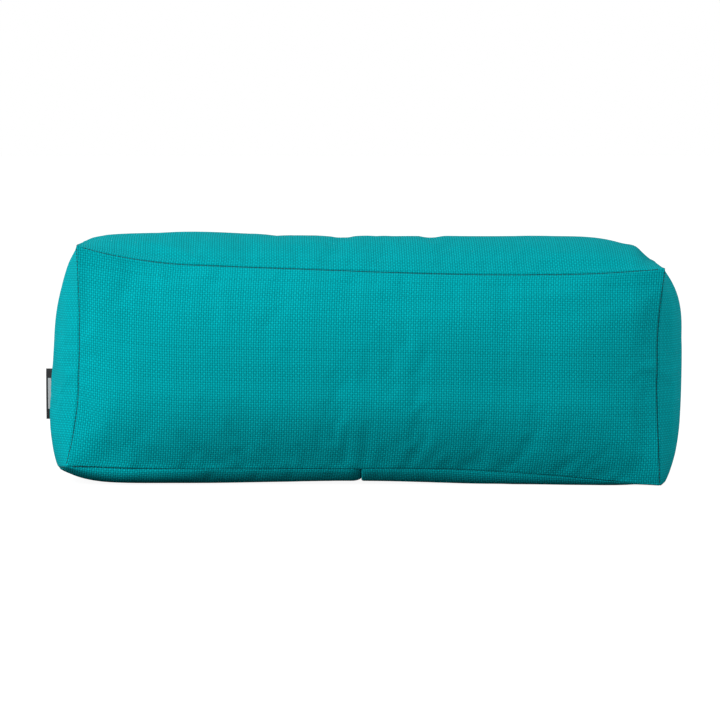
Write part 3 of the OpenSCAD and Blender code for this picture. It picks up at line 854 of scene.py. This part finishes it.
def stitches(name, runs, radius, length, pitch, material):
    """Short thread stitches along each run, a pair of arrays: points, and the outward direction at each."""
    points, faces = [], []
    # each ring of a stitch: place along it, height over the cloth and width, as shares of length and radius
    profile = ((-0.5, -0.9, 0.55), (-0.36, 0.05, 0.95), (0.0, 0.35, 1.0), (0.36, 0.05, 0.95), (0.5, -0.9, 0.55))
    sides = 6
    for path, outs in runs:
        far = distances(path)
        count = int(far[-1] // pitch)
        for k in range(count):
            middle = (k + 0.5) * far[-1] / count
            at = [found(middle + share * length, far, path) for share, _, _ in profile]
            out = found(middle, far, outs)
            along = unit(at[-1] - at[0])
            out = unit(out - along * out.dot(along))
            across = np.cross(along, out)
            first = len(points)
            for p, (_, up, wide) in zip(at, profile):
                centre = p + out * up * radius
                for a in range(sides):
                    angle = 2 * math.pi * a / sides
                    points.append(centre + (out * math.sin(angle) + across * math.cos(angle)) * radius * wide)
            for ring in range(len(profile) - 1):
                for a in range(sides):
                    b = (a + 1) % sides
                    r = first + ring * sides
                    faces.append((r + a, r + b, r + sides + b, r + sides + a))
            faces.append(tuple(first + a for a in reversed(range(sides))))
            last = first + (len(profile) - 1) * sides
            faces.append(tuple(last + a for a in range(sides)))
    return mesh_piece(name, np.array(points), faces, material, "thread")


def twisted_thread(name, light, dark, fine=0.0006):
    """Two-ply thread: slanted bands of light and dark with fine fibres."""
    g = Graph(name, Roughness=0.6, Sheen_Weight=0.1)
    g.set("Specular IOR Level", 0.2)
    p = g.place()
    x, y, z = g.split(p)
    turns = g.math("ADD", g.math("ADD", x, y), g.times(z, 1.3))
    ply = g.math("SINE", g.times(turns, 2 * math.pi / fine))
    fibre = g.noise(p, 2600, 2)
    fac = g.fit(ply, 0.35, fibre, clamp=True)
    g.set("Base Color", g.tinted(fac, dark, light))
    g.bump(fac, 0.0001, 0.6)
    return g.material


seam_thread = twisted_thread("thread_dark_teal", (0.0, 0.085, 0.098, 1), (0.0, 0.020, 0.025, 1))


def seam_run(name, edge, depth):
    """Bottom of the groove along one edge of a panel, and the way out of it."""
    along_s, side = read_edge(edge)
    width, height, _ = FLAT[name]
    size, last = height if along_s else width, -1 if side > 0 else 0
    n = 160 if size > 0.3 else 60
    run = np.linspace(0.012, 0.988, n)
    fixed = np.array([0.0, 0.5, 1.0])
    grid = panel_grid(name, fixed, run) if along_s else panel_grid(name, run, fixed)
    path = grid[:, last] if along_s else grid[last]
    diagonal, _ = inwards(name, side, along_s)
    tight = drawn_tight(name, edge, run)
    inward = (GROOVE - depth) * flat_ends(run, size) * tight + 0.0008 * (1 - tight)
    return path + diagonal * inward[:, None], np.tile(-diagonal, (n, 1))


# The panel and edge that each seam is drawn from, by the binding inside it
SEAMS = {
    "front_seam_overlock": [("front_panel", edge) for edge in ("t1", "t0", "s0", "s1")],
    "back_seam_overlock": [("back_panel", edge) for edge in ("t1", "t0", "s0", "s1")],
    "end_seam_overlock": [("top_panel", "s0"), ("top_panel", "s1"), ("under", "s0"), ("under", "s1")],
}
stitches("seam_stitches", [seam_run(panel, edge, 0.0010) for edges in SEAMS.values() for panel, edge in edges],
         radius=0.00042, length=0.0030, pitch=0.0038, material=seam_thread)


# ---- thread bindings inside the cover
def tubes(lines, radius, sides=6):
    """Round tubes along lines, each a pair of arrays: points, and guides that never lie along them."""
    points, faces, first = [], [], 0
    angles = np.arange(sides) * 2 * np.pi / sides
    for line, guides in lines:
        ahead = unit(np.gradient(line, axis=0))
        across = unit(np.cross(ahead, guides))
        up = np.cross(across, ahead)
        rings = line[:, None] + radius * (np.cos(angles)[None, :, None] * across[:, None]
                                          + np.sin(angles)[None, :, None] * up[:, None])
        n = len(line)
        a = first + np.arange((n - 1) * sides).reshape(n - 1, sides)
        b = np.roll(a, -1, axis=1)
        faces += np.stack([a + sides, b + sides, b, a], -1).reshape(-1, 4).tolist()
        faces.append(list(range(first, first + sides)))
        faces.append(list(range(first + n * sides - 1, first + (n - 1) * sides - 1, -1)))
        points.append(rings.reshape(-1, 3))
        first += n * sides
    return np.concatenate(points), faces


def squarish(wave, power=0.6):
    """A sine or cosine with flatter tops."""
    return np.sign(wave) * np.abs(wave) ** power


def loops(edges, pitch=0.0026, reach=0.0025, half=0.0016, steps=12):
    """Overlock thread wound round the two raw edges inside each seam."""
    lines = []
    for name, edge in edges:
        path, outs = seam_run(name, edge, 0.0)
        path = path - outs * (ALLOWANCE * math.sqrt(2) - 0.0035)
        far = distances(path)
        count = int(far[-1] / pitch) * steps
        line = found(np.linspace(0, far[-1], count), far, path)
        along = unit(np.gradient(line, axis=0))
        inward = -outs[0][None, :] + np.zeros_like(line)
        beside = np.cross(along, inward)
        a = 2 * np.pi * np.arange(count) / steps
        line = (line + inward * (reach * squarish(np.cos(a)))[:, None]
                + beside * (half * squarish(np.sin(a)))[:, None])
        lines.append((line, along))
    return tubes(lines, 0.00028, 5)


overlock_thread = twisted_thread("thread_teal", (0.0, 0.13, 0.15, 1), (0.0, 0.05, 0.06, 1))
for node, edges in SEAMS.items():
    piece = mesh_piece(node + "_loops", *loops(edges), overlock_thread, "thread")
    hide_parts(node)


# ---- zip
def fine_cloth(name, light, dark, pitch, sheen=0.05, rough=0.8):
    """A smooth, thin cloth of fine yarns."""
    return woven(name, light, dark, pitch, pitch * 0.25, 0.6, sheen=sheen, sheen_tint=light, rough=rough,
                 specular=0.15, wobble=0.00002, slub=0.04, warp_gain=0.1)


tape_cloth = fine_cloth("zip_tape_cloth", (0.020, 0.022, 0.024, 1), (0.008, 0.009, 0.010, 1), 0.0008)
for side, node in ((-1, "zip_tape_left"), (1, "zip_tape_right")):
    low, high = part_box(node)
    across = np.linspace(0, 1, 21)
    along = np.linspace(low.y + 0.0002, high.y - 0.0002, 180)
    x = low.x + (high.x - low.x) * across
    # a corded edge beside the coil, and a slight ripple between the stitches
    inner = across if side > 0 else 1 - across
    grid = np.zeros((len(along), len(across), 3))
    grid[..., 0] = x[None, :]
    grid[..., 1] = along[:, None]
    grid[..., 2] = (high.z - 0.00002 + 0.00022 * np.exp(-((inner[None, :] - 0.06) / 0.05) ** 2)
                    + 0.00004 * np.sin(along[:, None] * 2 * np.pi / 0.0042) * inner[None, :] ** 2)
    piece = grid_object(node + "_cloth", grid, False, tape_cloth)
    cloth_piece(piece, node, high.z - low.z - 0.0001)

g = Graph("zip_coil_nylon", Roughness=0.35, IOR=1.53)
x, y, z = g.split(g.place())
drawn = g.noise(g.joined(g.times(x, 4.0), y, z), 1800, 2)
g.set("Base Color", g.tinted(drawn, (0.012, 0.013, 0.014, 1), (0.032, 0.034, 0.036, 1)))
g.set("Roughness", g.fit(drawn, 0.2, 0.28))
g.bump(drawn, 0.00003, 0.5)
nylon = g.material
COIL_PITCH, FILAMENT = 0.0012, 0.0003
for side, node in ((-1, "zip_coil_left"), (1, "zip_coil_right")):
    low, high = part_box(node)
    turns = int((high.y - low.y - 2 * FILAMENT - 0.001) / COIL_PITCH)
    a = np.linspace(0, turns * 2 * np.pi, turns * 16)
    # flattened coil: its heads reach just past the middle, half a pitch apart on the two sides
    x = CLOSURE_X + side * (0.00108 - 0.00142 * squarish(np.cos(a), 0.8))
    z = (low.z + high.z) / 2 + 0.00072 * squarish(np.sin(a), 0.8)
    y = low.y + 0.0005 + FILAMENT + (0 if side < 0 else COIL_PITCH / 2) + a / (2 * np.pi) * COIL_PITCH
    guides = np.tile([0.0, 1.0, 0.0], (len(a), 1))
    turned_wire = tubes([(np.stack([x, y, z], 1), guides)], FILAMENT)
    piece = mesh_piece(node + "_turns", *turned_wire, nylon, "zip_coil")
    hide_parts(node)

g = Graph("zip_metal", Metallic=1.0, Roughness=0.32)
p = g.place()
x, y, z = g.split(p)
streaks = g.noise(g.joined(g.times(x, 12.0), y, g.times(z, 12.0)), 900, 3)
wear = g.noise(p, 260, 3)
g.set("Base Color", g.scaled((0.60, 0.61, 0.63), g.fit(wear, 0.25, 0.85)))
dull = g.fit(wear, 0.18, 0.12)
g.set("Roughness", g.math("ADD", g.times(streaks, 0.22), dull))
g.bump(streaks, 0.00002, 0.4)
for node, edge in (("zip_slider", 0.00022), ("zip_pull", 0.00018), ("zip_top_stops", 0.00025),
                   ("zip_bottom_stop", 0.00025)):
    obj = bpy.data.objects[node]
    obj.data.materials.clear()
    obj.data.materials.append(g.material)
    rounded = obj.modifiers.new("rounded", "BEVEL")
    rounded.width = edge
    rounded.segments = 3
    rounded.limit_method = "ANGLE"

# Two rows of lockstitch along each hem
HEM_ROWS = (0.0067, 0.0113)
runs = []
half = (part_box("zip_coil_left")[1].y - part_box("zip_coil_left")[0].y) / 2
for side in (-1, 1):
    for row in HEM_ROWS:
        y = np.linspace(-half, half, 80)
        x = np.full_like(y, CLOSURE_X + side * row)
        runs.append((np.stack([x, y, floor_gap(x) - 0.00005], 1), np.tile([0.0, 0.0, -1.0], (80, 1))))
hem_stitches = stitches("hem_stitches", runs, radius=0.00032, length=0.0030, pitch=0.0042,
                        material=overlock_thread)
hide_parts("zip_stitching")


# ---- side label
def with_pale_bar(g, colour):
    """A plain pale bar near the fold, in place of the woven mark."""
    x, y, _ = g.split(place_on_cloth(g))
    from_fold = g.math("ABSOLUTE", x)
    bar = g.times(g.math("GREATER_THAN", from_fold, 0.0022), g.math("LESS_THAN", from_fold, 0.0056))
    bar = g.times(bar, g.math("LESS_THAN", g.math("ABSOLUTE", y), 0.0165))
    return g.tinted(bar, colour, (0.42, 0.43, 0.44, 1))


low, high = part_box("side_label")
tip_x, label_bottom, label_top = low.x, low.z, high.z
hinge = next(j for j in frame["record"]["behaviour"]["joints"] if j["name"] == "label_flex")["pos_m"]
label_share = ((label_bottom + label_top) / 2 - MIDDLE.z) / HEIGHT + 0.5
seam_spot = placed(seam(2, {0: -1, 1: 1}, np.array([label_share]), 0.0))[0]
root = np.array([seam_spot[0] + 0.0040, seam_spot[1] - 0.0040])
stitch_line = np.array(hinge[:2])
tip = np.array([tip_x + 0.0005, hinge[1] + (hinge[0] - tip_x) * math.tan(math.radians(6))])
# seen from above, the label runs from inside the seam past its stitch line to the fold at its tip
way = np.concatenate([np.linspace(root, stitch_line, 10)[:-1], np.linspace(stitch_line, tip, 46)])
reach = np.linspace(0, 1, len(way))
way[:, 1] += 0.0012 * np.sin(np.pi * reach) * reach
ahead = unit(np.gradient(way, axis=0))
beside = np.stack([-ahead[:, 1], ahead[:, 0]], 1)
# the two plies lie close at the seam and open towards the fold
TIP_RADIUS = 0.0006
ply = 0.00042 + 0.00018 * np.clip((reach - 0.55) / 0.45, 0, 1) ** 2
turn_round = [tip + TIP_RADIUS * (ahead[-1] * (math.sin(q) - 1) + beside[-1] * math.cos(q))
              for q in np.linspace(0.25, math.pi - 0.25, 7)]
way = way - ahead * TIP_RADIUS
outline = np.concatenate([way + beside * ply[:, None], turn_round, (way - beside * ply[:, None])[::-1]])
rows = np.linspace(label_bottom, label_top, 56)
grid = np.zeros((len(rows), len(outline), 3))
grid[..., :2] = outline[None]
grid[..., 2] = rows[:, None]
# the free corners curl a little
free = 1 - np.abs(np.linspace(-1, 1, len(outline)))
rise = np.linspace(-1, 1, len(rows))
grid[..., 1] += 0.0010 * (rise[:, None] ** 2 - 0.35) * free[None, :] ** 2

label_satin = woven("label_satin", (0.022, 0.022, 0.024, 1), (0.008, 0.008, 0.009, 1), 0.0005, 0.00012, 0.75,
                    sheen=0.1, sheen_tint=(0.5, 0.5, 0.5, 1), rough=0.5, specular=0.3, wobble=0.00001,
                    slub=0.03, printed=with_pale_bar)
label = grid_object("side_label_cloth", grid, False, label_satin)
thickened(label, 0.00035, 0)
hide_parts("side_label")
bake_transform(label)

# ---- liner and its beads
# How far the liner's edges are from the cover's seams, and how far its walls are from the panels' crowns
INSET = 0.0120
GAPS = {name: 0.0085 if name == "under" else 0.0046 for name in SKINS}
liner_cloth = fine_cloth("liner_white", (0.80, 0.80, 0.78, 1), (0.62, 0.62, 0.60, 1), 0.0007, 0.03, 0.85)
us = np.linspace(0, 1, 150)
ws, vs = np.linspace(0, 1, 56), np.linspace(0, 1, 52)
# once round the liner: the last row of each wall is the first of the next
walls = [skin_grid(name, us, at, INSET, GAPS[name]) for name, at in
         (("front_panel", ws), ("top_panel", vs), ("back_panel", ws[::-1]), ("under", vs[::-1]))]
grid = np.concatenate([wall[:-1] for wall in walls[:-1]] + walls[-1:])
liner = {"liner_sleeve": grid_object("liner_sleeve_cloth", grid, False, liner_cloth)}
for name, over in (("liner_end_left", True), ("liner_end_right", False)):
    panel = name.replace("liner_end_", "") + "_end_panel"
    liner[name] = grid_object(name + "_cloth", skin_grid(panel, vs, ws, INSET, GAPS[panel]), over, liner_cloth)
for node, piece in liner.items():
    cloth_piece(piece, node, 0.0005)

g = Graph("polystyrene_beads", Roughness=0.55, IOR=1.45)
p = g.place()
cells = g.add("ShaderNodeTexVoronoi", feature="DISTANCE_TO_EDGE")
g.put(cells.inputs["Vector"], p)
cells.inputs["Scale"].default_value = 260
# painted shade: the beads' colour darkens towards the edges of the cells, in the crevices between the beads;
# the same mask gives their bump
bead = g.span(cells.outputs["Distance"], 0.0, 0.35)
g.set("Base Color", g.tinted(bead, (0.45, 0.45, 0.44, 1), (0.88, 0.88, 0.87, 1)))
g.bump(bead, 0.0012, 0.9)
bead_gaps = {name: gap + 0.0009 for name, gap in GAPS.items()}
bead_points, bead_faces, _ = box_skin(INSET + 0.0010, bead_gaps)
beads = mesh_piece("bead_filling_mass", bead_points + box_moves, bead_faces, g.material, "beads")
finer = beads.modifiers.new("finer", "SUBSURF")
finer.subdivision_type = "SIMPLE"
finer.levels = finer.render_levels = 1
lumps = bpy.data.textures.new("bead_lumps", "VORONOI")
lumps.noise_scale = 0.005
grain = beads.modifiers.new("grain", "DISPLACE")
grain.texture = lumps
grain.texture_coords = "LOCAL"
grain.strength = -0.0010
grain.mid_level = 0.0
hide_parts("bead_filling")

# The liner piece that lies inside each panel, by name
for name, piece in panels.items():
    inner = "liner_end_" + name.split("_")[0] + "_cloth" if "_end_" in name else "liner_sleeve_cloth"


# ---- floor, light, camera
def seen_lit(tree, seen, other, socket):
    """Shader that the camera sees, mixed with a dimmer one for all other rays."""
    path = tree.nodes.new("ShaderNodeLightPath")
    both = tree.nodes.new("ShaderNodeMixShader")
    tree.links.new(path.outputs["Is Camera Ray"], both.inputs[0])
    tree.links.new(other, both.inputs[1])
    tree.links.new(seen, both.inputs[2])
    tree.links.new(both.outputs[0], socket)


floor = mesh_object("floor", [(-9, -6, 0), (9, -6, 0), (9, 30, 0), (-9, 30, 0)], [(0, 1, 2, 3)])
g = Graph("pale_floor", Roughness=0.9)
ground = g.place()
speckle = g.noise(ground, 3)
ground_x, ground_y, _ = g.split(ground)
# painted shadow: the floor's colour is darker close to the object, so it gives back less light there, as a
# shadowed sweep of paper would
beside = g.math("MAXIMUM", g.math("SUBTRACT", g.math("ABSOLUTE", ground_x), 0.30),
                g.math("SUBTRACT", g.math("ABSOLUTE", ground_y), 0.085))
g.set("Base Color",
      g.tinted(g.span(beside, 0.0, 0.14), (0.05, 0.05, 0.05, 1), (0.44, 0.44, 0.44, 1)))
white = g.add("ShaderNodeBsdfPrincipled")
g.put(white.inputs["Base Color"], g.tinted(speckle, (0.10, 0.10, 0.10, 1), (0.11, 0.11, 0.11, 1)))
white.inputs["Emission Color"].default_value = (1, 1, 1, 1)
white.inputs["Emission Strength"].default_value = 0.94
output = next(n for n in g.tree.nodes if n.type == "OUTPUT_MATERIAL")
seen_lit(g.tree, white.outputs[0], g.surface.outputs[0], output.inputs[0])
floor.data.materials.append(g.material)
floor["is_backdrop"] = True

world = bpy.data.worlds.new("studio")
scene.world = world
world.use_nodes = True
dim = world.node_tree.nodes["Background"]
dim.inputs[0].default_value = (1, 1, 1, 1)
dim.inputs[1].default_value = 0.42
bright = world.node_tree.nodes.new("ShaderNodeBackground")
bright.inputs[0].default_value = (1, 1, 1, 1)
bright.inputs[1].default_value = 1.0
seen_lit(world.node_tree, bright.outputs[0], dim.outputs[0], world.node_tree.nodes["World Output"].inputs[0])
scene.view_settings.view_transform = "Standard"


def area_light(name, place, target, size, power):
    """A square lamp at a place, facing a target."""
    data = bpy.data.lights.new(name, "AREA")
    data.energy = power
    data.shape = "RECTANGLE"
    data.size = data.size_y = size
    lamp = in_scene(name, data)
    lamp.location = place
    lamp.rotation_mode = "QUATERNION"
    lamp.rotation_quaternion = (Vector(place) - Vector(target)).to_track_quat("Z", "Y")


area_light("key", (-1.55, -1.25, 1.30), (-0.1, 0, 0.12), size=1.1, power=55)
area_light("fill", (2.1, -0.5, 1.3), (0.2, 0, 0.12), size=1.5, power=24)

camera_data = bpy.data.cameras.new("camera")
camera_data.lens = 150
camera_data.sensor_width = 36
camera_data.clip_end = 50
camera = in_scene("camera", camera_data)
target = Vector((MIDDLE.x - 0.0055, -0.100, 0.127))
rise = math.radians(4.5)
back = Vector((0, -math.cos(rise), math.sin(rise)))
camera.location = target + back * 3.0
camera.rotation_mode = "QUATERNION"
camera.rotation_quaternion = back.to_track_quat("Z", "Y")
scene.camera = camera

low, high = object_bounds()
